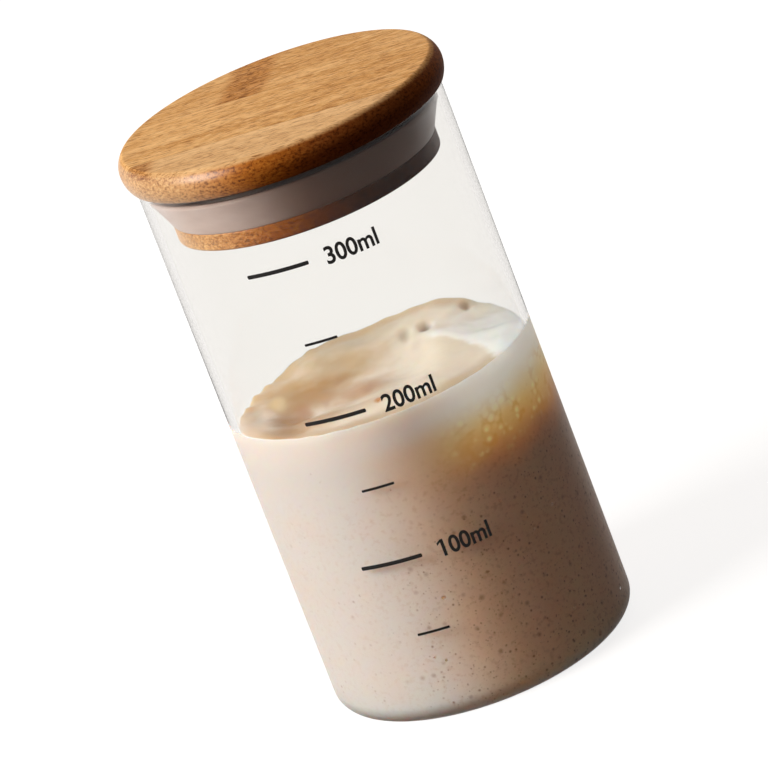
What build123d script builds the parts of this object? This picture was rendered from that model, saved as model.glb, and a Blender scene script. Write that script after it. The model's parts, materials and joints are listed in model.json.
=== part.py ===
from build123d import *
import os

# A straight glass starter jar with a plug lid turned from three-ply bamboo board and a silicone wiper seal.
# Millimetres, +Z up, with the origin at the centre of the foot, on the surface that the jar stands on.

os.makedirs("parts", exist_ok=True)

# Glass
jar_diameter = 65.0
jar_height = 120.0
glass_wall = 1.5
base_thickness = 1.4
heel_radius = 4.0
heel_facets = 6
floor_corner_radius = 2.7
corner_facets = 3
punt_depth = 0.4
punt_radius = 22.0
punt_crown_radius = 14.0
rim_round_share = 0.4
rim_facets = 2

# Starter
starter_level = 66.3
dish_depth = 3.5
dish_radius = 21.0
dish_floor_radius = 9.0
dish_offset = 5.0

# Bamboo board and the lid turned from it
ply_thickness = 6.5
strip_width = 24.7
grain_angle = -16.0
cross_angle = 90.0
belly_overhang = 2.0
belly_drop = 3.3
top_relief = 1.7
top_facets = 5
under_relief = 1.0
under_facets = 3
plug_gap = 2.9
groove_depth = 2.5
lip_thickness = 3.7
lip_round = 0.5
top_centre_share = -0.129
core_centre_share = 0.0
lip_centre_share = 0.176

# Silicone seal
fit_clearance = 0.05
band_thickness = 1.0
foot_thickness = 1.4
skirt_gap = 0.4
skirt_thickness = 1.1
tip_drop = 1.6
tip_land = 0.8
tip_round_share = 0.35

# Working sizes
jar_radius = jar_diameter / 2
bore_radius = jar_radius - glass_wall
rim_round = rim_round_share * glass_wall
lid_top = jar_height + ply_thickness
core_bottom = jar_height - ply_thickness
lip_bottom = core_bottom - ply_thickness
lip_top = lip_bottom + lip_thickness
belly_radius = jar_radius + belly_overhang
lip_radius = bore_radius - plug_gap
neck_radius = lip_radius - groove_depth
seal_bore = neck_radius + fit_clearance
seal_reach = bore_radius - fit_clearance
tip_top = jar_height - tip_drop
tip_round = tip_round_share * skirt_thickness
band_outside = seal_bore + band_thickness


def chords(arc, count):
    """Straight runs along an arc, so that the turned face stays light."""
    Polyline([arc @ (k / count) for k in range(count + 1)])


def bore_outline(height):
    """The inside of the glass, from the middle of its floor up the wall to a height."""
    wall_foot = base_thickness + floor_corner_radius
    flat_edge = bore_radius - floor_corner_radius
    corner = TangentArc(
        (flat_edge, base_thickness), (bore_radius, wall_foot), tangent=(1, 0), mode=Mode.PRIVATE
    )
    Line((0, base_thickness), (flat_edge, base_thickness))
    chords(corner, corner_facets)
    Line((bore_radius, wall_foot), (bore_radius, height))


# Glass jar: an even wall, a rounded heel, a shallow punt and a fire-polished rim
with BuildPart() as glass_jar:
    with BuildSketch(Plane.XZ):
        with BuildLine():
            bore_outline(jar_height - rim_round)
            rim_inside = TangentArc(
                (bore_radius, jar_height - rim_round),
                (bore_radius + rim_round, jar_height),
                tangent=(0, 1),
                mode=Mode.PRIVATE,
            )
            rim_outside = TangentArc(
                (jar_radius - rim_round, jar_height),
                (jar_radius, jar_height - rim_round),
                tangent=(1, 0),
                mode=Mode.PRIVATE,
            )
            chords(rim_inside, rim_facets)
            Line((bore_radius + rim_round, jar_height), (jar_radius - rim_round, jar_height))
            chords(rim_outside, rim_facets)
            Line((jar_radius, jar_height - rim_round), (jar_radius, heel_radius))
            heel = TangentArc(
                (jar_radius, heel_radius), (jar_radius - heel_radius, 0), tangent=(0, -1), mode=Mode.PRIVATE
            )
            chords(heel, heel_facets)
            Polyline(
                (jar_radius - heel_radius, 0),
                (punt_radius, 0),
                (punt_crown_radius, punt_depth),
                (0, punt_depth),
                (0, base_thickness),
            )
        make_face()
    revolve(axis=Axis.Z)
glass_jar.part.label = "glass_jar"
export_step(glass_jar.part, "parts/glass_jar.step")

# Starter: it fills the bore up to its level, and its top has sunk to one side of the middle
with BuildPart() as starter:
    with BuildSketch(Plane.XZ):
        with BuildLine():
            bore_outline(starter_level)
            Line((bore_radius, starter_level), (0, starter_level))
            Line((0, starter_level), (0, base_thickness))
        make_face()
    revolve(axis=Axis.Z)
    with Locations((-dish_offset, 0, starter_level - dish_depth / 2)):
        Cone(dish_floor_radius, dish_radius, dish_depth, mode=Mode.SUBTRACT)
starter.part.label = "starter"
export_step(starter.part, "parts/starter.step")

# Seal: a band in the lid's groove, with a foot that turns out into a skirt that wipes the glass
with BuildPart() as seal_ring:
    with BuildSketch(Plane.XZ):
        with BuildLine():
            Polyline(
                (seal_bore, jar_height),
                (seal_bore, lip_top),
                (lip_radius, lip_top),
                (seal_reach, tip_top - tip_land),
                (seal_reach, tip_top - tip_round),
                (seal_reach - tip_round, tip_top),
                (seal_reach - skirt_thickness, tip_top),
                (band_outside + skirt_gap, lip_top + foot_thickness),
                (band_outside, lip_top + foot_thickness),
                (band_outside, jar_height),
                (seal_bore, jar_height),
            )
        make_face()
    revolve(axis=Axis.Z)
seal_ring.part.label = "seal_ring"
export_step(seal_ring.part, "parts/seal_ring.step")


def flange_outline():
    """The top ply: a flat face that meets a full, rounded edge at a crease."""
    top_edge = belly_radius - top_relief
    under_edge = belly_radius - under_relief
    belly = (belly_radius, lid_top - belly_drop)
    under_arc = TangentArc(belly, (under_edge, jar_height), tangent=(0, -1), mode=Mode.PRIVATE)
    top_arc = TangentArc(belly, (top_edge, lid_top), tangent=(0, 1), mode=Mode.PRIVATE)
    chords(under_arc, under_facets)
    chords(top_arc, top_facets)
    Polyline((top_edge, lid_top), (0, lid_top), (0, jar_height), (under_edge, jar_height))


def core_outline():
    """The middle ply, which is all groove."""
    Polyline(
        (0, core_bottom), (neck_radius, core_bottom), (neck_radius, jar_height), (0, jar_height), close=True
    )


def lip_outline():
    """The bottom ply: the rest of the groove, and the lip that keeps the seal on."""
    Polyline(
        (lip_radius - lip_round, lip_bottom),
        (lip_radius, lip_bottom + lip_round),
        (lip_radius, lip_top),
        (neck_radius, lip_top),
        (neck_radius, core_bottom),
        (0, core_bottom),
        (0, lip_bottom),
        (lip_radius - lip_round, lip_bottom),
    )


def glued_strips(names, outline, angle, centre):
    """One ply of the turned board, sawn along the glue lines on both sides of its middle strip."""
    edges = [-2 * belly_radius, centre - strip_width / 2, centre + strip_width / 2, 2 * belly_radius]
    for name, low, high in zip(names, edges, edges[1:]):
        with BuildPart() as strip:
            with BuildSketch(Plane.XZ):
                with BuildLine():
                    outline()
                make_face()
            revolve(axis=Axis.Z)
            with BuildSketch(Plane.XY.rotated((0, 0, angle))):
                with Locations((0, (low + high) / 2)):
                    Rectangle(4 * belly_radius, high - low)
            extrude(amount=2 * lid_top, mode=Mode.INTERSECT)
        strip.part.label = name
        export_step(strip.part, f"parts/{name}.step")


# Lid: the plies' glue lines don't lie over each other, and the core's grain runs across
glued_strips(
    ["top_strip_front", "top_strip_middle", "top_strip_back"],
    flange_outline,
    grain_angle,
    top_centre_share * belly_radius,
)
glued_strips(
    ["core_strip_right", "core_strip_middle", "core_strip_left"],
    core_outline,
    grain_angle + cross_angle,
    core_centre_share * neck_radius,
)
glued_strips(
    ["lip_strip_front", "lip_strip_middle", "lip_strip_back"],
    lip_outline,
    grain_angle,
    lip_centre_share * lip_radius,
)
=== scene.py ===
"""Looks for a sourdough starter jar: glass, risen starter, wiper seal, board lid, printed scale, stage."""

import json
import math
import random

import bmesh
import bpy
from mathutils import Matrix, Vector, noise

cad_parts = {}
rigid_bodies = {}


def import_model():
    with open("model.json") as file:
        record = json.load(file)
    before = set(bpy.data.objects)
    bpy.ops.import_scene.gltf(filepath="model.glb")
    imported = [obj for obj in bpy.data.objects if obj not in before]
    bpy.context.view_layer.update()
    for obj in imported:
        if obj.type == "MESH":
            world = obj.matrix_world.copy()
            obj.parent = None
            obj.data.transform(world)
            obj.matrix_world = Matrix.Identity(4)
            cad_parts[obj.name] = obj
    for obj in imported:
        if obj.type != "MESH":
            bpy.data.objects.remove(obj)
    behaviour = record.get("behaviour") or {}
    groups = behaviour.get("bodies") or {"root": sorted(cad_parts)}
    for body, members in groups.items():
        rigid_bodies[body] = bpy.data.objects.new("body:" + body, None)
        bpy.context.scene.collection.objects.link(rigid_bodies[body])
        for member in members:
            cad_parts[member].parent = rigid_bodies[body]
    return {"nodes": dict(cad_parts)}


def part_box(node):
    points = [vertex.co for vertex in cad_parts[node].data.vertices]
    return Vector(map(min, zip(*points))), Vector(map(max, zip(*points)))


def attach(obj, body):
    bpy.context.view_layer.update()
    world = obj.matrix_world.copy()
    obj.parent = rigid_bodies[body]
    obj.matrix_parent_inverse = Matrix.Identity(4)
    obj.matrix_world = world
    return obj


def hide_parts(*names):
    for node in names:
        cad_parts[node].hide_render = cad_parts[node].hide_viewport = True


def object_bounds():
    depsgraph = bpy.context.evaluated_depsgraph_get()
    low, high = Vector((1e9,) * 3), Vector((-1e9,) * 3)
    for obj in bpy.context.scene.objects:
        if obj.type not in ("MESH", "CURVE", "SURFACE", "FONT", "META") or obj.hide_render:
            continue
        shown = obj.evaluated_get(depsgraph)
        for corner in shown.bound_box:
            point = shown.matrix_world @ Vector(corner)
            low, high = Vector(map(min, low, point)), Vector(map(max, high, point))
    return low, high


bl_info = {
    "name": "Sourdough starter jar",
    "version": (1, 0, 0),
    "blender": (4, 5, 0),
    "location": "View3D > Sidebar > Starter jar",
    "description": "Builds the jar's visible pieces and a plain studio round its packed frame",
    "category": "Object",
}

for spare in list(bpy.data.objects):
    bpy.data.objects.remove(spare)
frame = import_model()
cad_low, cad_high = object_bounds()

MM = 0.001
FACETS = 224  # flats round every turned piece
HOLD = 0.3 * MM  # how far beside a round its holding ring lies, so that long flat runs shade flat
WELD = 0.001 * MM  # points of one mesh that lie nearer than this are one point
SAWN_NEAR = 0.0001 * MM  # points that lie nearer than this to a saw's cut are on it
PRINT_NEAR = 0.00001 * MM  # the same for the cuts that bend the print
glass_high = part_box("glass_jar")[1]
starter_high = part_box("starter")[1]
seal_low, seal_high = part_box("seal_ring")
board_low, board_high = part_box("top_strip_middle")
core_low, core_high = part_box("core_strip_middle")
lip_low, lip_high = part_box("lip_strip_middle")


def reach_of(node):
    """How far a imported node's points reach from the jar's axis."""
    return max(math.hypot(v.co.x, v.co.y) for v in frame["nodes"][node].data.vertices)


def tint(code):
    """A colour picked as six hexadecimal digits, as the linear values that the nodes take."""
    shares = [int(code[k:k + 2], 16) / 255 for k in (0, 2, 4)]
    return tuple(s / 12.92 if s <= 0.04045 else ((s + 0.055) / 1.055) ** 2.4 for s in shares) + (1.0,)


def length(millimetres, description):
    """A size for a property group, whose default is written in millimetres."""
    kind = {"unit": "LENGTH", "subtype": "DISTANCE", "precision": 5}
    return bpy.props.FloatProperty(description=description, default=millimetres * MM, **kind)


def angle(degrees, description):
    """An angle for a property group, whose default is written in degrees."""
    kind = {"unit": "ROTATION", "subtype": "ANGLE"}
    return bpy.props.FloatProperty(description=description, default=math.radians(degrees), **kind)


def colour(code, description):
    """A colour for a property group."""
    kind = {"size": 4, "min": 0, "max": 1, "subtype": "COLOR"}
    return bpy.props.FloatVectorProperty(description=description, default=tint(code), **kind)


def share(default, description):
    """A plain number for a property group."""
    return bpy.props.FloatProperty(description=description, default=default, subtype="FACTOR")


def count(default, description):
    """A whole number for a property group."""
    return bpy.props.IntProperty(description=description, default=default, min=0)


class GlassSettings(bpy.types.PropertyGroup):
    """The glass jar."""

    wall: length(1.5, "Thickness of the tube's wall")
    base: length(1.4, "Height of the inside floor over the foot")
    heel: length(4, "Radius of the outside bottom corner")
    floor_corner: length(2.7, "Radius of the inside bottom corner")
    punt_depth: length(0.4, "Rise of the underside's middle")
    punt_radius: length(22, "Where the underside starts to rise")
    punt_crown: length(14, "Where the underside is level again")
    rim_round: length(0.6, "Radius of the rim's corners")
    bending: share(1.47, "Index of refraction")
    plain: share(0.75, "Share of the surface that mirrors nothing")
    body: colour("fcfcfb", "Colour of light that crosses a surface")
    depth: colour("a8a09a", "Colour that a long way through the glass takes")
    density: share(55, "How soon it takes that colour, per metre")


class StarterSettings(bpy.types.PropertyGroup):
    """The risen starter."""

    contact: length(0.02, "How far the paste reaches into the glass")
    rings: count(84, "Rings of the top")
    seed: count(11, "Seed for the gas pits")
    pits: count(44, "Gas pits against the glass")
    dense_reach: length(8, "How far light spreads in the dense paste")
    foam_reach: length(175, "How far light spreads in the foam")
    # Painted shade: the paste is made browner towards the right, where the window lamp does not reach
    cream: colour("ddd6d1", "The paste where it is smooth")
    blush: colour("e6c2a0", "The browner paste on the right")
    # Painted light: a paler, warmer band at the right stands in for light that spreads through the paste
    warm: colour("ffd9b7", "The paste at the far right")
    crumb: colour("b98d66", "Fine mottling of the paste")
    speck: colour("8a5530", "Specks in the paste")
    # Partly painted light: the golden patch also stands in for glow through the paste
    crown: colour("e2dbd5", "The smooth band under the top")
    honey: colour("c9903f", "Liquid in the foam")
    bubble: colour("f4e6bd", "Bubbles against the glass")
    skin: colour("ecdfce", "The top skin")
    skin_cloud: colour("e2d2bc", "Clouds in the top skin")
    shore: colour("b8935f", "The top skin near the glass")
    bank: colour("fffaf3", "The pale bank at the right")
    # Painted shade: the darker floor of each small hollow
    hollow: colour("7d6640", "The floor of a small hollow")
    # Partly painted glow: the foam runs from golden at its foot to near white under the crown, like light
    # that crosses the paste from the top
    froth_foot: colour("cf9d74", "The foam where it starts")
    froth: colour("f8cb9c", "The foam")
    froth_top: colour("fff8ea", "The foam under the crown")
    froth_wall: colour("d99a5c", "Walls between the foam's bubbles")
    froth_bubble: colour("fff0c4", "The foam's bubbles")
    # Partly painted shade: the pits' insides are darker brown than the paste
    pit: colour("65422b", "The inside of a gas pit")
    pit_cloud: colour("8a6144", "Paler places inside a gas pit")


class SealSettings(bpy.types.PropertyGroup):
    """The silicone seal."""

    band: length(1, "Thickness of the band in the lid's groove")
    foot: length(1.4, "Height of the skirt's foot")
    foot_reach: length(28.1, "Outside radius of the foot")
    skirt_gap: length(0.4, "Gap between the band and the skirt's root")
    skirt: length(1.1, "Thickness of the wiping skirt")
    tip_drop: length(1.6, "From the band's top down to the skirt's tip")
    tip_land: length(0.8, "Height of the ring on the glass")
    round: length(0.25, "Radius of the moulded edges")
    clearance: length(0.05, "Gap between the band and the groove")
    milk: colour("dac5bd", "The silicone")
    haze: colour("c9b2aa", "Clouds in the silicone")
    dust: colour("efe8e4", "Fine dust on it")
    # Painted shade: the silicone is made darker and browner towards the right, away from the window lamp
    shade: colour("76503c", "The silicone away from the window")
    # Painted shade: the band's top under the flange is made browner
    tip: colour("8a6650", "The skirt's tip under the flange")


class BoardSettings(bpy.types.PropertyGroup):
    """The board that the lid is turned from."""

    belly_drop: length(3.3, "From the top down to the widest place")
    top_relief: length(1.7, "From the widest place in to the flat top")
    under_relief: length(1, "From the widest place in to the underside")
    crease: length(0.22, "Radius left on a sanded edge")
    lip_height: length(3.7, "Height of the lip under the seal")
    lip_round: length(0.5, "Radius of the lip's lower edge")
    grain: angle(-16, "Direction of the grain in the top and bottom plies")
    cross: angle(74, "Direction of the grain in the middle ply")
    pale: colour("f0bf80", "Ground between the fibres")
    tan: colour("d09855", "Fibres")
    dark: colour("7d4415", "Flecks and pores")
    knuckle: colour("ba752b", "Ground of a bamboo knuckle")
    glue: colour("7d5226", "Glue lines")
    streak: colour("f0c98e", "Pale streaks between the flecks")
    bleached: colour("e4c296", "What a paler strip leans to")
    toasted: colour("9c6530", "What a darker strip leans to")
    knuckle_fleck: colour("6a3a0f", "Flecks in a knuckle")
    speckle: colour("5d3311", "Dark fibre ends on the turned edge")
    speckle_pale: colour("fbdfa6", "Pale fibre ends on the turned edge")
    rubbed: colour("eadfd6", "Wash over the turned edge")
    # Painted shade: amber and edge deepen the turned edge to orange at the front and darken it towards the
    # right
    amber: colour("e2b266", "Wash on its way to the end grain")
    edge: colour("987454", "Wash over the end grain")
    # Painted shade: under darkens the lower half of the turned edge, which faces down
    under: colour("b8a594", "Wash over the edge's lower half")


class ScaleSettings(bpy.types.PropertyGroup):
    """The printed volume scale."""

    first: length(20.2, "Height of the 50 ml mark")
    pitch: length(16.4, "Height of 50 ml in the bore")
    marks: count(6, "Number of marks")
    long_mark: length(13.3, "Length of every second mark")
    short_mark: length(6.9, "Length of the marks between")
    long_weight: length(0.84, "Line width of the long marks")
    short_weight: length(0.55, "Line width of the short marks")
    mark_end: length(5.3, "How far left of the middle the marks end")
    figures_start: length(1.8, "How far left of the middle the figures start")
    figure_height: length(3.8, "Height of the figures")
    figure_width: length(2.3, "Width of a round figure")
    flag: length(0.75, "Reach of the flag on a one")
    bend: length(0.5, "Width of the print's flats round the jar")
    ink: length(0.03, "Thickness of the printed ink")
    black: colour("0b0908", "The ink")
    faded: colour("1a1512", "The ink where it is thin")


class StageSettings(bpy.types.PropertyGroup):
    """The camera, floor and lamps."""

    target: length(62.22, "Height that the camera looks at")
    sideways: length(-0.086, "Target's place across the view")
    distance: length(1158.85, "From the target to the camera")
    rise: angle(18.697, "The camera's angle over the horizon")
    roll: angle(21.097, "The camera's turn about its line of sight")
    lens: share(266.855, "Focal length in millimetres on a 36 mm sensor")
    key: share(1.16, "The window lamp's share of full level")
    back: share(0.33, "The back lamp's share of full level")
    room: share(0.2, "Level of the light from all round")
    floor: length(3000, "Half of the floor's width")
    glow: share(1.25, "Level of the floor's own light")
    paper: share(0.35, "How much of the floor takes the jar's shadow")


def sign(operation, swapped=False):
    """A method of a link that adds a Math node for one of Python's signs."""

    def method(link, other):
        return link.math(operation, other, link) if swapped else link.math(operation, link, other)

    return method


class Link:
    """One output socket. Python's arithmetic on it adds Math nodes."""

    __add__ = sign("ADD")
    __radd__ = sign("ADD", swapped=True)
    __sub__ = sign("SUBTRACT")
    __rsub__ = sign("SUBTRACT", swapped=True)
    __mul__ = sign("MULTIPLY")
    __truediv__ = sign("DIVIDE")
    __pow__ = sign("POWER")
    __lt__ = sign("LESS_THAN")
    least = sign("MINIMUM")
    most = sign("MAXIMUM")

    def __init__(self, nodes, socket):
        self.nodes = nodes
        self.socket = socket

    def __abs__(self):
        return self.math("ABSOLUTE", self)

    def math(self, operation, *numbers):
        """A Math node of some links and plain numbers."""
        return self.nodes.add("Math", {"operation": operation}, dict(enumerate(numbers)))

    def ease(self, start, end):
        """0 before start and 1 after end, with a soft step between. End may be the smaller."""
        low, high, bottom, top = (start, end, 0.0, 1.0) if start < end else (end, start, 1.0, 0.0)
        return self.nodes.add(
            "MapRange",
            {"interpolation_type": "SMOOTHSTEP"},
            {"Value": self, "From Min": low, "From Max": high, "To Min": bottom, "To Max": top},
        )


class Nodes:
    """A node tree that is filled one node at a time."""

    def __init__(self, tree):
        self.tree = tree
        tree.nodes.clear()

    def add(self, kind, settings=None, sockets=None, out=0):
        """Adds a node with its settings and its sockets' values or links, and gives one of its outputs."""
        node = self.tree.nodes.new("ShaderNode" + kind)
        for name, value in (settings or {}).items():
            setattr(node, name, value)
        for key, value in (sockets or {}).items():
            if isinstance(value, Link):
                self.tree.links.new(value.socket, node.inputs[key])
            else:
                node.inputs[key].default_value = value
        return Link(self, node.outputs[out]) if len(node.outputs) else node

    def place(self):
        """Object coordinates in millimetres."""
        spot = self.add("TexCoord", out="Object")
        return self.add("VectorMath", {"operation": "SCALE"}, {0: spot, "Scale": 1 / MM})

    def parts(self, vector):
        """A vector's three numbers."""
        apart = self.add("SeparateXYZ", sockets={0: vector})
        return [Link(self, socket) for socket in apart.socket.node.outputs]

    def stretched(self, vector, sizes, shift):
        """The vector in units of the given sizes, moved to another stretch of noise."""
        shares = [1 / size for size in sizes]
        shifts = (shift, shift * 0.7, shift * 0.3)
        return self.add("Mapping", sockets={0: vector, "Scale": shares, "Location": shifts})

    def noise(self, vector, sizes, shift=0.0, detail=2.0, rough=0.5):
        """Cloudy noise from 0 to 1, with lumps of the given sizes."""
        spot = self.stretched(vector, sizes, shift)
        sockets = {"Vector": spot, "Scale": 1.0, "Detail": detail, "Roughness": rough}
        return self.add("TexNoise", sockets=sockets)

    def cells(self, vector, sizes, shift=0.0, out="Distance"):
        """Distance to the middle of a random cell, or that cell's own colour."""
        spot = self.stretched(vector, sizes, shift)
        return self.add("TexVoronoi", sockets={"Vector": spot, "Scale": 1.0}, out=out)

    def mix(self, first, second, factor, blend="MIX"):
        """One colour over another."""
        settings = {"data_type": "RGBA", "blend_type": blend}
        return self.add("Mix", settings, {0: factor, 6: first, 7: second}, 2)

    def shaders(self, first, second, factor):
        return self.add("MixShader", sockets={0: factor, 1: first, 2: second})

    def bump(self, height, depth, strength):
        return self.add("Bump", sockets={"Height": height, "Distance": depth, "Strength": strength})


class Finish(Nodes):
    """A material."""

    def __init__(self, name):
        self.material = bpy.data.materials.new(name)
        self.material.use_nodes = True
        super().__init__(self.material.node_tree)

    def surface(self, sockets):
        return self.add("BsdfPrincipled", sockets=sockets)

    def done(self, shader, body=None):
        """The material, with its surface and what fills it."""
        ends = {"Surface": shader, "Volume": body} if body else {"Surface": shader}
        self.add("OutputMaterial", sockets=ends)
        return self.material


def smooth_step(start, end, value):
    """0 before start and 1 after end, with a soft step between. End may be the smaller."""
    t = max(0.0, min(1.0, (value - start) / (end - start)))
    return t * t * (3 - 2 * t)


def arc(start, end, steps):
    """Points on the round that leaves start straight up or down and ends at end, as (radius, height)."""
    inward = start[0] - end[0]
    rise = end[1] - start[1]
    radius = (inward * inward + rise * rise) / (2 * inward)
    turn = math.atan2(rise / abs(radius), (radius - inward) / radius)
    centre = start[0] - radius
    return [
        (centre + radius * math.cos(turn * k / steps), start[1] + abs(radius) * math.sin(turn * k / steps))
        for k in range(steps + 1)
    ]


def rounded(bm, corners, radius, segments):
    """Rounds flat corners."""
    shape = {"segments": segments, "profile": 0.5, "affect": "VERTICES", "material": -1}
    bmesh.ops.bevel(bm, geom=corners, offset=radius, **shape)


def turned(points, closed=False, rounds=None):
    """Spins an outline of (radius, height) points round Z. Rounds are {index: radius} of corners to round."""
    bm = bmesh.new()
    chain, corners = [], []
    for index, (r, z) in enumerate(points):
        radius = (rounds or {}).get(index)
        spot = Vector((r, 0, z))
        if radius:
            beside = (points[index - 1], points[(index + 1) % len(points)])
            before, after = (Vector((p[0], 0, p[1])) for p in beside)
            chain.append(bm.verts.new(spot + (before - spot).normalized() * (radius + HOLD)))
            corners.append((bm.verts.new(spot), radius))
            chain += [corners[-1][0], bm.verts.new(spot + (after - spot).normalized() * (radius + HOLD))]
        else:
            chain.append(bm.verts.new(spot))
    for a, b in zip(chain, chain[1:]):
        bm.edges.new((a, b))
    if closed:
        bm.edges.new((chain[-1], chain[0]))
    for corner, radius in corners:
        rounded(bm, [corner], radius, 4)
    chain = bm.verts[:] + bm.edges[:]
    about = {"cent": (0, 0, 0), "axis": (0, 0, 1), "angle": math.tau}
    bmesh.ops.spin(bm, geom=chain, steps=FACETS, use_merge=True, **about)
    bmesh.ops.remove_doubles(bm, verts=bm.verts, dist=WELD)
    bmesh.ops.recalc_face_normals(bm, faces=bm.faces)
    return bm


def split(bm, place, across, near, **side):
    """Cuts every face that a plane crosses. A point as near as that to the plane is on it."""
    whole = bm.verts[:] + bm.edges[:] + bm.faces[:]
    return bmesh.ops.bisect_plane(bm, geom=whole, dist=near, plane_co=place, plane_no=across, **side)


def sawn(bm, across, low, high):
    """Keeps the part of a closed mesh between two glue lines, and closes each cut."""
    for edge, outer in ((low, False), (high, True)):
        if edge is None:
            continue
        side = {"clear_outer": outer, "clear_inner": not outer}
        cut = split(bm, across * edge, across, SAWN_NEAR, **side)
        loop = [e for e in cut["geom_cut"] if isinstance(e, bmesh.types.BMEdge)]
        bmesh.ops.edgenet_fill(bm, edges=loop)
    bmesh.ops.recalc_face_normals(bm, faces=bm.faces)
    return bm


def meshed(name, bm):
    """The mesh of a bmesh."""
    mesh = bpy.data.meshes.new(name)
    bm.to_mesh(mesh)
    bm.free()
    return mesh


def linked(name, data):
    """An object in the scene."""
    obj = bpy.data.objects.new(name, data)
    bpy.context.scene.collection.objects.link(obj)
    return obj


def shown(obj):
    """The mesh that an object shows, in place of the object."""
    bpy.context.view_layer.update()
    graph = bpy.context.evaluated_depsgraph_get()
    mesh = bpy.data.meshes.new_from_object(obj.evaluated_get(graph))
    bpy.data.objects.remove(obj)
    return mesh


def square(bm, matrix, half=0.5):
    """A square in the plane of x and y, moved by a matrix."""
    return bmesh.ops.create_grid(bm, x_segments=1, y_segments=1, size=half, matrix=matrix)


def finished(name, bm, materials, body, nodes=(), crease=35):
    """Turns a bmesh into a piece of the object."""
    placed(name, meshed(name, bm), materials, body, nodes, crease)


def placed(name, mesh, materials, body, nodes, crease):
    """Turns a mesh into a piece of the object that rides on a body."""
    mesh.shade_smooth()
    mesh.set_sharp_from_angle(angle=math.radians(crease))
    obj = linked(name, mesh)
    mesh.materials.clear()
    for material in materials:
        mesh.materials.append(material)
    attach(obj, body)
    if nodes:
        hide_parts(*nodes)


def glass_finish(glass):
    """Clear glass that lets the lamps' light through to what is inside."""
    look = Finish("clear_glass")
    wave = look.noise(look.place(), (26, 26, 60), detail=1.0)
    clear = look.surface(
        {
            "Base Color": glass.body,
            "Roughness": 0.0,
            "IOR": glass.bending,
            "Transmission Weight": 1.0,
            "Normal": look.bump(wave, 0.06 * MM, 0.5),
        }
    )
    bent = look.add("BsdfRefraction", sockets={"Color": glass.body, "Roughness": 0.0, "IOR": glass.bending})
    inside = look.add("NewGeometry", out="Backfacing")
    flat = look.add("LayerWeight", sockets={"Blend": 0.5}, out="Facing")
    plain = glass.plain - inside * flat.ease(0.14, 0.24) * glass.plain
    clear = look.shaders(clear, bent, plain)
    shadow = look.add("LightPath", out="Is Shadow Ray")
    through = look.add("BsdfTransparent", sockets={"Color": (0.97, 0.98, 0.97, 1)})
    body = look.add("VolumeAbsorption", sockets={"Color": glass.depth, "Density": glass.density})
    return look.done(look.shaders(clear, through, shadow), body)


class MakeGlass(bpy.types.Operator):
    """Turns the glass jar from its outline"""

    bl_idname = "jar.glass"
    bl_label = "Glass jar"

    def execute(self, context):
        glass = context.scene.jar_glass
        outside, top = glass_high.x, glass_high.z
        bore = outside - glass.wall
        crown, reach = glass.punt_crown, glass.punt_radius - glass.punt_crown
        wall_foot, wall_top = glass.base + glass.floor_corner, top - glass.rim_round
        points = [(0, glass.punt_depth)]
        for k in range(9):
            fall = 0.5 + 0.5 * math.cos(math.pi * k / 8)
            points.append((crown + reach * k / 8, glass.punt_depth * fall))
        points.append((outside - glass.heel - HOLD, 0))
        points += arc((outside, glass.heel), (outside - glass.heel, 0), 12)[::-1]
        points += [(outside, glass.heel + HOLD), (outside, wall_top - HOLD)]
        points += arc((outside, wall_top), (outside - glass.rim_round, top), 6)
        points += arc((bore, wall_top), (bore + glass.rim_round, top), 6)[::-1]
        points += [(bore, wall_top - HOLD), (bore, wall_foot + HOLD)]
        points += arc((bore, wall_foot), (bore - glass.floor_corner, glass.base), 10)
        points += [(bore - glass.floor_corner - HOLD, glass.base), (0, glass.base)]
        look = glass_finish(glass)
        finished("jar_tube", turned(points), [look], "jar", ["glass_jar"], crease=60)
        return {"FINISHED"}


# The dish that the starter's top has sunk into, in millimetres: x, radius at its edge and at its floor, depth
DISH_X, DISH_EDGE, DISH_FLOOR, DISH_DEPTH = -5, 22, 7, 2.7

# Soft dips beside the right-hand bank and at the left, in millimetres: x, y, half widths along x and y, depth
RIGHT_DIP = (8.5, -5, 5, 10, 0.9)
LEFT_DIP = (-20, -7, 5, 9, 1.5)

# The right-hand bank, in millimetres: a place on its foot, the way across it, its bow and its top's height
BANK_X, BANK_Y = 13.7, 5
BANK_ACROSS = (0.94, 0.34)
BANK_BOW, BANK_BOW_MIDDLE, BANK_BOW_SHARE = 1.1, -6, 0.095
BANK_TOP = 0.4

# Lumps of the top: size and height in millimetres
LUMPS = [(8.5, 0.55), (3.4, 0.16), (1.1, 0.04)]

# Small hollows in the top, in millimetres: x, y, half widths along x and y, depth
HOLLOWS = [
    (12.0, 14.0, 1.7, 3.0, 1.1),
    (7.4, 15.0, 1.8, 4.4, 0.6),
    (21.7, 18.6, 1.4, 2.6, 0.8),
    (9.0, 8.0, 2.0, 3.0, 0.2),
]

# How far the paste's edge lies over its level, in millimetres, at degrees round from the front
RIM = [
    (-180, -1.3),
    (-165, -0.7),
    (-150, -1.0),
    (-135, -1.9),
    (-122, -2.1),
    (-108, -1.6),
    (-92, -1.1),
    (-75, 0),
    (77, 0),
    (92, -1.4),
    (110, -1.4),
    (125, -1.0),
    (136, 0.1),
    (146, 0.6),
    (156, 0),
    (168, -0.8),
    (180, -1.3),
]

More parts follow.
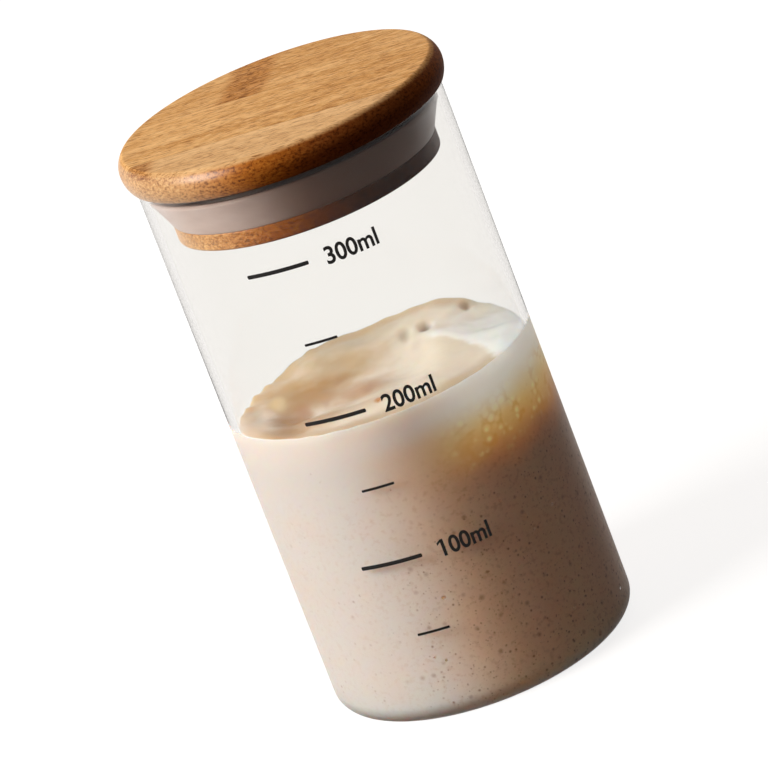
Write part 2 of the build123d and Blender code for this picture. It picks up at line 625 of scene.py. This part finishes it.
# Tones of the top skin: x, y and half widths along x and y in millimetres, colour, strength
TONES = [
    (-8, 13, 13, 12, "b8976a", 0.85),
    (-20, 9, 8, 13, "b08644", 0.85),
    (-3, 25, 22, 10, "b39c78", 0.7),
    (12, 20, 9, 5, "e6d8c2", 0.6),
    (20, 13, 9, 9, "fbf2e6", 0.8),
    (8, -6, 9, 12, "ecdcc6", 0.5),
    (-3, -16, 7, 7, "cfa67c", 0.65),
    (-13, 4, 9, 9, "a9751e", 0.9),
    (-5, -3, 9, 7, "b38558", 0.9),
    (-20.5, -6, 5.5, 9, "a46a02", 1.0),
    (-21.5, -17, 6, 9, "9e6a12", 1.0),
    (-17.4, -4, 2.2, 7, "ab6a10", 0.9),
    (-14, -15, 7, 9, "b3885a", 0.75),
    (-21.8, 6, 2.0, 5, "e3cb98", 0.6),
    (-28, 3, 3, 12, "b3a084", 0.9),
    (-3.5, -4, 1.6, 3.4, "a3724a", 0.45),
    (-12.5, -1.5, 1.0, 3.0, "a3724a", 0.45),
    (-2.3, -19.6, 1.0, 2.3, "c07810", 1.0),
]

MOST_TRIES = 5000  # how many places for a gas pit are drawn at most
PIT_INSET = 0.25  # share of a gas pit's radius by which its middle lies inside the paste
PASTE_IOR = 1.38
SKIN_REACH = 30.6  # millimetres from the axis to where the top skin gives way to the paste on the glass

# Gas pits that stand out on the front: degrees round from the middle, height and radius in millimetres
FRONT_PITS = [
    (-7.9, 26.1, 0.5),
    (29.6, 17.6, 0.6),
    (22.8, 26.2, 0.4),
    (16.3, 20.6, 0.42),
    (24.6, 40.2, 0.3),
    (34.0, 31.0, 0.35),
    (12.6, 34.4, 0.28),
    (3.0, 14.6, 0.35),
    (38.0, 11.5, 0.45),
    (46.0, 33.0, 0.38),
    (-19.0, 14.2, 0.28),
    (20.0, 9.0, 0.3),
]


def bank_side(x, y):
    """How far right of the right-hand bank's foot a place lies, in millimetres. Takes numbers or links."""
    bow = BANK_BOW - ((y - BANK_BOW_MIDDLE) * BANK_BOW_SHARE) ** 2
    return (x - BANK_X) * BANK_ACROSS[0] + (y - BANK_Y) * BANK_ACROSS[1] - bow


def ring(x, y, cx, cy, wide, deep):
    """How far a place lies from a middle, in half widths. Takes numbers or links."""
    return (((x - cx) / wide) ** 2 + ((y - cy) / deep) ** 2) ** 0.5


def dip(x, y, cx, cy, wide, deep, depth):
    """Depth of a soft dip at a place."""
    return depth * math.exp(-(((x - cx) / wide) ** 2) - ((y - cy) / deep) ** 2)


def noise_round(turn, size, seed):
    """Noise along the jar's wall, which closes on itself."""
    return noise.noise(Vector((size * math.cos(turn), size * math.sin(turn), seed)))


def rim_rise(turn):
    """How far the paste's edge lies over its level at an angle in degrees."""
    for (start, low), (end, high) in zip(RIM, RIM[1:]):
        if turn <= end:
            return low + (high - low) * smooth_step(start, end, turn)
    return RIM[-1][1]


def starter_rise(x, y, wall):
    """Height of the starter's top against its level, in millimetres, at a place in millimetres."""
    out = math.hypot(x, y)
    rise = -DISH_DEPTH * smooth_step(DISH_EDGE, DISH_FLOOR, math.hypot(x - DISH_X, y))
    rise -= dip(x, y, *RIGHT_DIP)
    bank = smooth_step(-1.2, 2.2, bank_side(x, y)) * smooth_step(-23, -15, y) * smooth_step(13, 5, y)
    rise = rise * (1 - bank) + BANK_TOP * bank
    rise -= dip(x, y, *LEFT_DIP)
    for *hollow, depth in HOLLOWS:
        rise -= depth * smooth_step(1.3, 0.1, ring(x, y, *hollow))
    for size, height in LUMPS:
        rise += height * noise.noise(Vector((x / size, y / size, size)))
    turn = math.atan2(x, -y)
    edge = rim_rise(math.degrees(turn))
    rise += edge * smooth_step(12, 28, out)
    ragged = smooth_step(1.6, 2.2, -turn) * smooth_step(3.1, 2.7, -turn)
    climb = edge + 0.1 * noise_round(turn, 2.2, 4)
    climb += (0.2 + 0.9 * ragged) * noise_round(turn, 9, 7)
    loose = smooth_step(wall - 0.1, wall - 3.6, out)
    return rise * loose + climb * (1 - loose)


def starter_finish(starter, level):
    """Flour paste: cloudy cream with fine gas specks, a pale smooth crown and honey-coloured foam, with
    painted shade to the right and painted glow at the right.
    """
    look = Finish("starter_paste")
    place = look.place()
    x, y, z = look.parts(place)
    turn = look.add("Math", {"operation": "ARCTAN2"}, {0: x, 1: 0 - y}) * (180 / math.pi)
    out = (x * x + y * y) ** 0.5
    top = z.ease(level - 6, level - 2) * out.ease(SKIN_REACH + 0.35, SKIN_REACH)

    # Paste behind the glass: painted shade that browns it towards the right, mottling, and a pale crown
    clouds = look.noise(place, (15, 15, 12))
    mist = look.noise(place, (4, 4, 3), 9)
    # Painted shade: browner towards the right, with cloudy variation
    shade_and_clouds_mask = x.ease(-18, 8) + (clouds - 0.5) * 0.5 + (mist - 0.5) * 0.16
    paste = look.mix(starter.cream, starter.blush, shade_and_clouds_mask.most(0.0).least(1.0))
    # Painted light: a paler band at the right, in place of light that spreads through the paste
    paste = look.mix(paste, starter.warm, x.ease(6, 18) * x.ease(30, 24) * 0.9)
    crumb = look.noise(place, (1.1, 1.1, 0.9), 15, rough=0.6)
    mottled = crumb.ease(0.5, 0.72) * z.ease(60, 46) * (0.1 + x.ease(-24, 6) * 0.25)
    paste = look.mix(paste, starter.crumb, mottled)
    crown = (z + (clouds - 0.5) * 5).ease(level - 10, level - 4)
    paste = look.mix(paste, starter.crown, crown * (1 - top) * 0.9)

    # Honey-coloured patch of foam under the crown, at the right; its golden colour is partly painted glow of
    # light that crosses the paste from the top
    foam = look.cells(place, (2.1, 2.1, 1.9), 3)
    low = z + (clouds - 0.5) * 6 + (mist - 0.5) * 3
    patch = low.ease(level - 21, level - 13) * low.ease(level - 3, level - 10)
    patch = patch * turn.ease(-4, 26) * turn.ease(125, 90)
    paste = look.mix(paste, starter.honey, patch * (1 - top) * 0.25)
    bubbles = foam.ease(0.42, 0.1) * mist.ease(0.42, 0.56) * turn.ease(6, 22) * turn.ease(80, 54)
    paste = look.mix(paste, starter.bubble, patch * bubbles * 0.6)

    # Fine specks of three sizes, few at the left and many at the lower right
    sparse = look.noise(place, (8, 8, 8), 5, detail=1.0)
    crowd = z.ease(56, 24) * (0.18 + turn.ease(-30, 2) * turn.ease(100, 50) * 0.86)
    crowd = (sparse * 0.5 + crowd * 0.62) * (1 - top)
    for size, shift, amount in ((0.85, 21, 0.6), (1.4, 37, 0.7), (2.8, 33, 0.5)):
        sizes = (size, size, size)
        chance = look.parts(look.cells(place, sizes, shift, "Color"))[0]
        speck = (look.cells(place, sizes, shift) / (chance * 0.3 + 0.04)).ease(1.0, 0.1)
        speck = speck * (crowd + chance * 0.3).ease(0.56, 0.8)
        paste = look.mix(paste, starter.speck, speck * amount)

    # Top skin: soft tones, a darker shore, the pale bank, and painted shade on the floors of the small
    # hollows
    skin = look.mix(starter.skin, starter.skin_cloud, clouds.ease(0.4, 0.62))
    for *patch_place, tone, strength in TONES:
        spread = ring(x, y, *patch_place) + (mist - 0.5) * 0.45 + (clouds - 0.5) * 0.3
        skin = look.mix(skin, tint(tone), spread.ease(1.25, 0.2) * strength)
    shore = out.ease(25, 29.5) * (1 - turn.ease(40, 70) * turn.ease(140, 110))
    skin = look.mix(skin, starter.shore, shore * 0.6)
    side = bank_side(x, y) + (mist - 0.5) * 1.6
    bank = side.ease(-0.9, 0.7) * y.ease(-24, -17) * y.ease(11, 6)
    skin = look.mix(skin, starter.bank, bank)
    # Painted shade: each hollow's floor is darker, the more so the deeper it is
    for *hollow, depth in HOLLOWS:
        hollow_shade_mask = ring(x, y, *hollow).ease(1.1, 0.1)
        skin = look.mix(skin, starter.hollow, hollow_shade_mask * min(0.6, depth * 0.6))

    # Two shaders: the dense paste, and airy foam that light crosses from far away
    grain = look.noise(place, (0.7, 0.7, 0.7), detail=3.0, rough=0.6)
    wet = look.bump(grain + mist * 2, 0.05 * MM, 0.5)
    moist = {"IOR": PASTE_IOR, "Specular IOR Level": 0.12, "Subsurface Weight": 1.0, "Normal": wet}
    dense = look.surface(
        {
            "Base Color": look.mix(paste, skin, top),
            "Roughness": 0.42 - top * 0.12 + grain * 0.12,
            "Coat Weight": top * 0.25,
            "Coat Roughness": 0.2,
            "Subsurface Radius": (1.0, 0.6, 0.38),
            "Subsurface Scale": starter.dense_reach,
            **moist,
        }
    )
    # The foam's colour, golden at its foot and near white under the crown: partly the foam's own colour,
    # partly painted glow
    froth = look.mix(starter.froth_foot, starter.froth, low.ease(level - 20, level - 9))
    froth = look.mix(froth, starter.froth_top, low.ease(level - 12, level - 3))
    froth = look.mix(froth, starter.froth_wall, patch * foam.ease(0.36, 0.62) * mist.ease(0.42, 0.6) * 0.5)
    froth = look.mix(froth, starter.froth_bubble, patch * bubbles * 0.8)
    airy = look.surface(
        {
            "Base Color": froth,
            "Roughness": 0.45,
            "Subsurface Radius": (1.0, 0.72, 0.5),
            "Subsurface Scale": starter.foam_reach,
            **moist,
        }
    )
    foamy = low.ease(level - 24, level - 12) * turn.ease(-6, 34) * turn.ease(130, 95) * (1 - top)
    return look.done(look.shaders(dense, airy, foamy * 0.9))


def pit_finish(starter):
    """The inside of a gas pit: darker brown, partly the wet paste's colour and partly painted shade in the
    pit.
    """
    look = Finish("starter_pit")
    clouds = look.noise(look.place(), (1.5, 1.5, 1.5), detail=1.0)
    wall = look.mix(starter.pit, starter.pit_cloud, clouds)
    return look.done(look.surface({"Base Color": wall, "Roughness": 0.5, "IOR": PASTE_IOR}))


class MakeStarter(bpy.types.Operator):
    """Turns the paste from the bore's outline, sinks and folds its top, and cuts its gas pits"""

    bl_idname = "jar.starter"
    bl_label = "Starter"

    def execute(self, context):
        glass = context.scene.jar_glass
        starter = context.scene.jar_starter
        level = starter_high.z
        wall = glass_high.x - glass.wall + starter.contact
        floor = glass.base - starter.contact
        points = [(0, floor), (wall - glass.floor_corner - HOLD, floor)]
        points += arc((wall, floor + glass.floor_corner), (wall - glass.floor_corner, floor), 10)[::-1]
        points += [(wall, floor + glass.floor_corner + HOLD), (wall, level - 7 * MM), (wall, level - 4 * MM)]
        points += [(wall * (1 - k / starter.rings), level) for k in range(starter.rings + 1)]
        bm = turned(points)
        for vert in bm.verts:
            if vert.co.z > level - 0.5 * MM:
                vert.co.z += MM * starter_rise(vert.co.x / MM, vert.co.y / MM, wall / MM)
        bmesh.ops.recalc_face_normals(bm, faces=bm.faces)
        dice = random.Random(starter.seed)
        paste, pit = starter_finish(starter, level / MM), pit_finish(starter)
        mesh = meshed("starter_paste", bm)
        mesh.materials.append(paste)
        solid = linked("starter_solid", mesh)
        cutter = self.cutter(dice, starter, wall, pit)
        cut = solid.modifiers.new("pits", "BOOLEAN")
        cut.operation = "DIFFERENCE"
        cut.solver = "EXACT"
        cut.material_mode = "TRANSFER"
        cut.object = cutter
        pitted = shown(solid)
        bpy.data.objects.remove(cutter)
        placed("starter_risen", pitted, [paste, pit], "jar", ["starter"], 50)
        return {"FINISHED"}

    def cutter(self, dice, starter, wall, pit):
        """Balls that cut the pits. None of them meets another."""
        taken = [(math.radians(turn), height * MM, radius * MM) for turn, height, radius in FRONT_PITS]
        tries = 0
        while len(taken) < starter.pits and tries < MOST_TRIES:
            tries += 1
            turn = dice.gauss(0.3, 0.4) if dice.random() < 0.5 else dice.uniform(-math.pi, math.pi)
            height = (6 + 48 * dice.random() ** 1.5) * MM
            radius = (0.16 + 0.2 * dice.random() ** 3) * MM
            gaps = [
                math.hypot(wall * math.remainder(turn - t, math.tau), height - h) - (radius + r) * 1.25
                for t, h, r in taken
            ]
            if min(gaps) > 0:
                taken.append((turn, height, radius))
        bm = bmesh.new()
        for turn, height, radius in taken:
            out = wall - radius * PIT_INSET
            centre = Matrix.Translation((out * math.sin(turn), -out * math.cos(turn), height))
            bmesh.ops.create_icosphere(bm, subdivisions=2, radius=radius, matrix=centre)
        mesh = meshed("pit_balls", bm)
        mesh.materials.append(pit)
        return linked("pit_balls", mesh)


def silicone_finish(seal):
    """Milky silicone with fine dust on it, painted shade on its right-hand side, and painted shade at its top
    under the flange.
    """
    look = Finish("milky_silicone")
    place = look.place()
    haze = look.noise(place, (7, 7, 2.5), detail=3.0)
    dust = look.cells(place, (1.4, 1.4, 1.4), 4).ease(0.13, 0.05)
    body = look.mix(seal.milk, seal.haze, haze.ease(0.35, 0.7) * 0.5)
    body = look.mix(body, seal.dust, dust * 0.35)
    x, _, z = look.parts(place)
    # Painted shade: darker and browner towards the right
    body = look.mix(body, seal.shade, x.ease(-20, 2) * 0.92)
    # Painted shade under the flange, at the band's top
    body = look.mix(body, seal.tip, z.ease(117.6, 118.6) * 0.6)
    shader = look.surface(
        {
            "Base Color": body,
            "Roughness": haze * 0.16 + 0.3,
            "IOR": 1.41,
            "Specular IOR Level": 0.25,
            "Subsurface Weight": 0.5,
            "Subsurface Radius": (1.0, 0.8, 0.75),
            "Subsurface Scale": 1 * MM,
            "Normal": look.bump(haze, 0.08 * MM, 0.4),
        }
    )
    return look.done(shader)


class MakeSeal(bpy.types.Operator):
    """Turns the silicone seal with its foot and wiping skirt"""

    bl_idname = "jar.seal"
    bl_label = "Silicone seal"

    def execute(self, context):
        seal = context.scene.jar_seal
        reach, foot, top = seal_high.x, seal_low.z, seal_high.z
        bore = reach_of("core_strip_middle") + seal.clearance
        band = bore + seal.band
        tip = top - seal.tip_drop
        points = [
            (bore, top),
            (bore, foot),
            (seal.foot_reach, foot),
            (reach, tip - seal.tip_land),
            (reach, tip),
            (reach - seal.skirt, tip),
            (band + seal.skirt_gap, foot + seal.foot),
            (band, foot + seal.foot),
            (band, top),
        ]
        rounds = {corner: seal.round for corner in (0, 2, 3, 4, 5, 8)}
        bm = turned(points, closed=True, rounds=rounds)
        finished("wiper_ring", bm, [silicone_finish(seal)], "seal", ["seal_ring"], crease=40)
        return {"FINISHED"}


def board_finish(board, name, turn, seams, tone, seed, knuckles):
    """One strip of bamboo: fibres along its length, pores on its ends, its knuckles, and painted shade on its
    turned edge.
    """
    look = Finish(name)
    edge_top = board_high.z / MM - 0.2
    place = look.place()
    grain = look.add("Mapping", sockets={0: place, "Rotation": (0, 0, -turn)})
    along, across, height = look.parts(grain)
    drift = look.noise(grain, (16, 9, 9), seed) - 0.5
    ripple = look.noise(grain, (4.5, 2.2, 2.2), seed + 3, detail=1.0) - 0.5
    knot = None
    for centre, half in knuckles:
        band = abs(along + drift * 3.5 - centre).ease(half, half * 0.45)
        knot = band if knot is None else knot.most(band)
    if knot is not None and "top" in name:
        knot = knot * height.ease(edge_top - 1.6, edge_top - 0.6)
    curl = ripple * 1.1 if knot is None else ripple * (1.1 + knot * 2.6)
    moved = {0: along, 1: across + drift * 2.4 + curl, 2: height + drift * 1.4}
    bent = look.add("CombineXYZ", sockets=moved)
    broad = look.noise(bent, (42, 6.5, 6.5), seed + 7)
    fibres = look.noise(bent, (9, 0.42, 0.42), seed + 11, rough=0.6)
    flecks = look.noise(bent, (2.2, 0.34, 0.34), seed + 17, rough=0.6)
    pores = look.cells(bent, (5.5, 0.8, 0.8), seed + 23).ease(0.36, 0.14)
    ground = look.mix(board.pale, board.tan, (fibres * 0.6 + broad * 0.7).ease(0.46, 0.82))
    ground = look.mix(ground, board.streak, flecks.ease(0.45, 0.32) * 0.7)
    if tone:
        ground = look.mix(ground, board.bleached if tone > 0 else board.toasted, abs(tone))
    turned_edge = height.ease(edge_top, edge_top - 0.8)
    fleck = flecks.ease(0.52, 0.66) * (0.4 + broad * 0.8) * (1 - turned_edge * 0.6)
    ground = look.mix(ground, board.dark, fleck * 0.72)
    ground = look.mix(ground, board.dark, pores * 0.36)
    if knot is not None:
        ground = look.mix(ground, board.knuckle, knot * 0.6)
        ground = look.mix(ground, board.knuckle_fleck, knot * flecks.ease(0.46, 0.6) * 0.75)
    for seam in seams:
        ground = look.mix(ground, board.glue, abs(across - seam).ease(0.16, 0.05) * 0.3)
    speckle = look.noise(place, (0.75, 0.75, 0.5), seed, rough=0.7)
    dark_ends = turned_edge * speckle.ease(0.51, 0.66) * (0.4 + along.ease(-26, -4) * 0.3)
    ground = look.mix(ground, board.speckle, dark_ends)
    ground = look.mix(ground, board.speckle_pale, turned_edge * speckle.ease(0.47, 0.33) * 0.65)
    ground = look.mix(ground, board.rubbed, turned_edge, "MULTIPLY")
    shaded = height.ease(edge_top - 1.5, edge_top - 4)
    # Painted shade: deeper orange at the front of the turned edge, darker towards the right
    ground = look.mix(ground, board.amber, turned_edge * along.ease(-22, 0) * along.ease(32, 6), "MULTIPLY")
    ground = look.mix(ground, board.edge, turned_edge * along.ease(-8, 22), "MULTIPLY")
    # Painted shade on the lower half of the turned edge, which faces down
    ground = look.mix(ground, board.under, turned_edge * shaded * along.ease(-12, 12), "MULTIPLY")
    shader = look.surface(
        {
            "Base Color": ground,
            "Roughness": 0.5 + fibres * 0.16,
            "IOR": 1.5,
            "Specular IOR Level": 0.02,
            "Coat Weight": turned_edge * along.ease(4, -14) * 0.8,
            "Coat Roughness": 0.32,
            "Normal": look.bump(fibres * 0.7 - fleck * 0.5 - pores * 0.5, 0.07 * MM, 0.6),
        }
    )
    return look.done(shader)


# Strips: node, side of the ply's glue lines, tone, seed, and knuckles as (place, half width) in millimetres
STRIPS = [
    ("top_strip_front", -1, 0.34, 3, [(-27.5, 6.0)]),
    ("top_strip_middle", 0, -0.03, 31, []),
    ("top_strip_back", 1, -0.06, 57, [(-9.5, 6.5)]),
    ("core_strip_right", -1, 0.05, 71, []),
    ("core_strip_middle", 0, -0.1, 83, [(6.0, 4.5)]),
    ("core_strip_left", 1, 0.0, 97, []),
    ("lip_strip_front", -1, -0.08, 109, []),
    ("lip_strip_middle", 0, 0.1, 127, [(14.0, 4.2)]),
    ("lip_strip_back", 1, 0.0, 139, []),
]


class MakeLid(bpy.types.Operator):
    """Turns the three plies of the board lid and saws each into its glued strips"""

    bl_idname = "jar.lid"
    bl_label = "Board lid"

    def execute(self, context):
        board = context.scene.jar_board
        for node, side, tone, seed, knuckles in STRIPS:
            ply = node.split("_")[0]
            turn = board.cross if ply == "core" else board.grain
            across = Vector((-math.sin(turn), math.cos(turn), 0))
            places = [across.dot(v.co) for v in frame["nodes"][ply + "_strip_middle"].data.vertices]
            edges = {-1: [None, min(places)], 0: [min(places), max(places)], 1: [max(places), None]}[side]
            seams = [edge / MM for edge in edges if edge is not None]
            look = board_finish(board, node + "_grain", turn, seams, tone, seed, knuckles)
            points, rounds = getattr(self, ply)(board)
            bm = sawn(turned(points, rounds=rounds), across, *edges)
            finished(node + "_turned", bm, [look], "lid", [node], crease=40)
        return {"FINISHED"}

    def top(self, board):
        """The flange: a flat top that meets a full, rounded edge at a crease."""
        reach, under, top = board_high.x, board_low.z, board_high.z
        widest = (reach, top - board.belly_drop)
        lower = arc(widest, (reach - board.under_relief, under), 6)[::-1]
        upper = arc(widest, (reach - board.top_relief, top), 9)[1:]
        points = [(0, under)] + lower + upper + [(0, top)]
        return points, {1: board.crease, len(points) - 2: board.crease}

    def core(self, board):
        """The middle ply, which is all groove."""
        reach = reach_of("core_strip_middle")
        low, top = core_low.z, core_high.z
        return [(0, low), (reach, low), (reach, top), (0, top)], {}

    def lip(self, board):
        """The bottom ply: the rest of the groove, and the lip that keeps the seal on."""
        groove, reach = reach_of("core_strip_middle"), reach_of("lip_strip_middle")
        low, top = lip_low.z, lip_high.z
        shelf = low + board.lip_height
        points = [(0, low), (reach, low), (reach, shelf), (groove, shelf), (groove, top), (0, top)]
        return points, {1: board.lip_round, 2: board.crease}


def ink_finish(scale):
    """Baked black ink, a little uneven."""
    look = Finish("black_ink")
    grain = look.noise(look.place(), (0.3, 0.3, 0.3))
    body = look.mix(scale.black, scale.faded, grain.ease(0.45, 0.75))
    rough = 0.5 + grain * 0.2
    return look.done(look.surface({"Base Color": body, "Roughness": rough, "Specular IOR Level": 0.2}))


class MakeScale(bpy.types.Operator):
    """Prints the marks and figures of the volume scale on the glass"""

    bl_idname = "jar.scale"
    bl_label = "Volume scale"

    def execute(self, context):
        scale = context.scene.jar_scale
        radius = glass_high.x
        bm = bmesh.new()
        for k in range(scale.marks):
            height = scale.first + k * scale.pitch
            main = k % 2 == 1
            self.mark(bm, scale, height, main)
            if main:
                self.figures(bm, scale, height, f"{50 * (k + 1)}ml")
        for step in range(-40, 40):
            split(bm, Vector((step * scale.bend, 0, 0)), Vector((1, 0, 0)), PRINT_NEAR)
        shell = bmesh.ops.extrude_face_region(bm, geom=bm.faces[:])
        raised = {v for v in shell["geom"] if isinstance(v, bmesh.types.BMVert)}
        for vert in bm.verts:
            out = radius + (scale.ink if vert in raised else -0.3 * scale.ink)
            turn = vert.co.x / radius
            vert.co = (out * math.sin(turn), -out * math.cos(turn), vert.co.z)
        bmesh.ops.recalc_face_normals(bm, faces=bm.faces)
        finished("volume_scale", bm, [ink_finish(scale)], "jar")
        return {"FINISHED"}

    def mark(self, bm, scale, height, main):
        """One flat mark, with x as the way round and z up."""
        reach = scale.long_mark if main else scale.short_mark
        weight = scale.long_weight if main else scale.short_weight
        size = Matrix.Diagonal((reach, weight, 1, 1))
        spot = Matrix.Translation((-scale.mark_end - reach / 2, 0, height))
        spot = spot @ Matrix.Rotation(math.pi / 2, 4, "X")
        made = square(bm, spot @ size)
        rounded(bm, made["verts"], weight * 0.3, 3)

    def figures(self, bm, scale, height, words):
        """One row of figures, narrowed to the scale's own figures."""
        text = bpy.data.curves.new(words, "FONT")
        text.body = words
        text.offset = 0.022
        text.resolution_u = 6
        mesh = shown(linked(words, text))
        low = [min(v.co[k] for v in mesh.vertices) for k in (0, 1)]
        high = [max(v.co[k] for v in mesh.vertices) for k in (0, 1)]
        wide = scale.figure_width / (0.5 * text.size)
        tall = scale.figure_height / (high[1] - low[1])
        flag = scale.flag if words[0] == "1" else 0
        for vert in mesh.vertices:
            x, y = vert.co.x - low[0], vert.co.y - (low[1] + high[1]) / 2
            vert.co = (x * wide - scale.figures_start + flag, 0, y * tall + height)
        bm.from_mesh(mesh)
        bpy.data.meshes.remove(mesh)
        if flag:
            stem = Vector((flag - scale.figures_start, 0, height + scale.figure_height * 0.475))
            across, down = Vector((flag, 0, flag * 0.7)), Vector((0, 0, -flag * 0.72))
            middle = stem - across / 2 + down / 2
            sides = Matrix((across, down, across.cross(down))).transposed().to_4x4()
            square(bm, Matrix.Translation(middle) @ sides)


# Lamps: setting of the level, name, degrees round from the front and up, distance and width in metres, colour
LAMPS = [
    ("key", "window", -70, 32, 1.2, 0.6, (1, 0.985, 0.965)),
    ("back", "back", 162, 34, 1.3, 0.9, (1, 0.97, 0.93)),
]
ROOM_COLOUR = (1, 0.75, 0.58, 1)
WHITE = (1, 1, 1, 1)


def seen(nodes):
    """1 where the camera sees a surface straight, mirrored or through glass, and 0 for spread light."""
    path = nodes.add("LightPath").socket.node.outputs
    straight = Link(nodes, path["Is Camera Ray"])
    for kind in ("Is Glossy Ray", "Is Transmission Ray"):
        straight = straight.most(Link(nodes, path[kind]))
    return straight * (Link(nodes, path["Diffuse Depth"]) < 0.5)


class MakeStage(bpy.types.Operator):
    """Sets the camera, a pale floor and soft lamps"""

    bl_idname = "jar.stage"
    bl_label = "Stage"

    def execute(self, context):
        stage = context.scene.jar_stage
        self.camera(context, stage)
        self.floor(stage)
        world = bpy.data.worlds.new("studio")
        world.use_nodes = True
        context.scene.world = world
        sky = Nodes(world.node_tree)
        white = sky.add("Background", sockets={"Color": WHITE, "Strength": 1.0})
        room = sky.add("Background", sockets={"Color": ROOM_COLOUR, "Strength": stage.room})
        sky.add("OutputWorld", sockets={"Surface": sky.shaders(room, white, seen(sky))})
        for setting, *lamp in LAMPS:
            self.lamp(getattr(stage, setting), *lamp)
        context.scene.view_settings.view_transform = "Standard"
        return {"FINISHED"}

    def camera(self, context, stage):
        """The photograph's camera."""
        back = Vector((0, -math.cos(stage.rise), math.sin(stage.rise)))
        right = Vector((1, 0, 0))
        up = back.cross(right)
        c, s = math.cos(stage.roll), math.sin(stage.roll)
        axes = Matrix((right * c - up * s, right * s + up * c, back)).transposed()
        data = bpy.data.cameras.new("photo_camera")
        data.lens = stage.lens
        data.sensor_width = 36
        data.clip_start = 0.05
        camera = linked("photo_camera", data)
        target = Vector((stage.sideways, 0, stage.target))
        camera.matrix_world = Matrix.Translation(target + back * stage.distance) @ axes.to_4x4()
        context.scene.camera = camera

    def floor(self, stage):
        """A floor that looks white, takes the jar's shadow and throws little light back."""
        bm = bmesh.new()
        square(bm, Matrix(), stage.floor)
        mesh = meshed("floor", bm)
        obj = linked("floor", mesh)
        look = Finish("pale_floor")
        spread = look.add("BsdfDiffuse", sockets={"Color": (0.1, 0.075, 0.06, 1)})
        paper = look.add("BsdfDiffuse", sockets={"Color": (0.9, 0.9, 0.9, 1)})
        glow = look.add("Emission", sockets={"Color": WHITE, "Strength": stage.glow})
        white = look.shaders(glow, paper, stage.paper)
        mesh.materials.append(look.done(look.shaders(spread, white, seen(look))))

    def lamp(self, level, name, azimuth, elevation, distance, size, body):
        """A square lamp that lights what faces it at a share of full level."""
        data = bpy.data.lights.new(name, "AREA")
        data.size = size
        data.color = body
        data.energy = level * math.pi * math.pi * distance * distance
        lamp = linked(name, data)
        a, e = math.radians(azimuth), math.radians(elevation)
        away = Vector((math.sin(a) * math.cos(e), -math.cos(a) * math.cos(e), math.sin(e)))
        middle = Vector((0, 0, cad_high.z / 2))
        facing = away.to_track_quat("Z", "Y").to_matrix().to_4x4()
        lamp.matrix_world = Matrix.Translation(middle + away * distance) @ facing
        lamp.visible_transmission = False


class JarPanel(bpy.types.Panel):
    """Lists the jar's pieces and their settings"""

    bl_idname = "VIEW3D_PT_starter_jar"
    bl_label = "Starter jar"
    bl_space_type = "VIEW_3D"
    bl_region_type = "UI"
    bl_category = "Starter jar"

    def draw(self, context):
        for operator, settings, _ in STEPS:
            box = self.layout.box()
            box.operator(operator.bl_idname)
            group = getattr(context.scene, settings)
            for name in group.__annotations__:
                box.prop(group, name)


STEPS = [
    (MakeStage, "jar_stage", StageSettings),
    (MakeGlass, "jar_glass", GlassSettings),
    (MakeStarter, "jar_starter", StarterSettings),
    (MakeSeal, "jar_seal", SealSettings),
    (MakeLid, "jar_board", BoardSettings),
    (MakeScale, "jar_scale", ScaleSettings),
]


def register():
    for operator, settings, group in STEPS:
        for name, setting in group.__annotations__.items():
            setting.keywords["name"] = name.replace("_", " ").capitalize()
        bpy.utils.register_class(group)
        setattr(bpy.types.Scene, settings, bpy.props.PointerProperty(type=group))
        bpy.utils.register_class(operator)
    bpy.utils.register_class(JarPanel)


def unregister():
    bpy.utils.unregister_class(JarPanel)
    for operator, settings, group in reversed(STEPS):
        bpy.utils.unregister_class(operator)
        delattr(bpy.types.Scene, settings)
        bpy.utils.unregister_class(group)


def main():
    register()
    bpy.ops.jar.stage()
    bpy.ops.jar.glass()
    bpy.ops.jar.starter()
    bpy.ops.jar.seal()
    bpy.ops.jar.lid()
    bpy.ops.jar.scale()
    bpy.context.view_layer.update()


if __name__ == "__main__":
    main()
